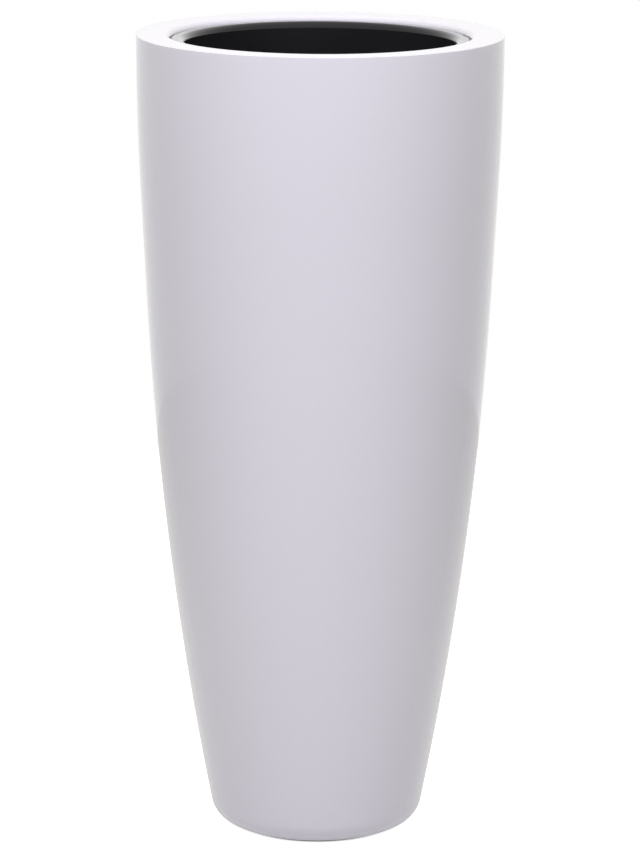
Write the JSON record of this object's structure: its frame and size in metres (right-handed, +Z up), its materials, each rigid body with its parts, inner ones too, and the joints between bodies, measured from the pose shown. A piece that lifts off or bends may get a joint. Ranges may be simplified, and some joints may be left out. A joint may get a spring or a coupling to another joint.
{
  "type": "planter",
  "caption": "Tall round tapering floor planter: glossy laminate shell with a flat stepped rim and a lift-out liner with flange, drain holes with bungs, and foot pads.",
  "frame": {"origin": "on the floor, at the centre of the foot", "axes": "+Z up along the planter's axis; +X towards the right of the picture, where the liner's first lifting notch is, 10.6 degrees towards +Y; +Y away from the camera"},
  "size_m": [0.3379, 0.338, 0.75],
  "materials": {
    "pearl_lacquer": "clear gloss over pearl-white lacquer on glass-fibre laminate",
    "liner_plastic": "high gloss",
    "bung_rubber": "moulded matte",
    "pad_rubber": "matte"
  },
  "bodies": {
    "planter": {"body_shell": "pearl_lacquer", "rim_ring": "pearl_lacquer", "foot_pads": "pad_rubber"},
    "liner": {"liner": "liner_plastic"},
    "liner_bung": {"liner_bung": "bung_rubber"},
    "base_bung": {"base_bung": "bung_rubber"}
  },
  "joints": [
    {"name": "liner_lift", "type": "slide", "parent": "planter", "child": "liner", "axis": [0, 0, 1], "range_m": [0, 0.3]},
    {"name": "liner_bung_pull", "type": "slide", "parent": "liner", "child": "liner_bung", "axis": [0, 0, 1], "range_m": [0, 0.27]},
    {"name": "base_bung_pull", "type": "slide", "parent": "planter", "child": "base_bung", "axis": [0, 0, 1], "range_m": [0, 0.1]}
  ]
}
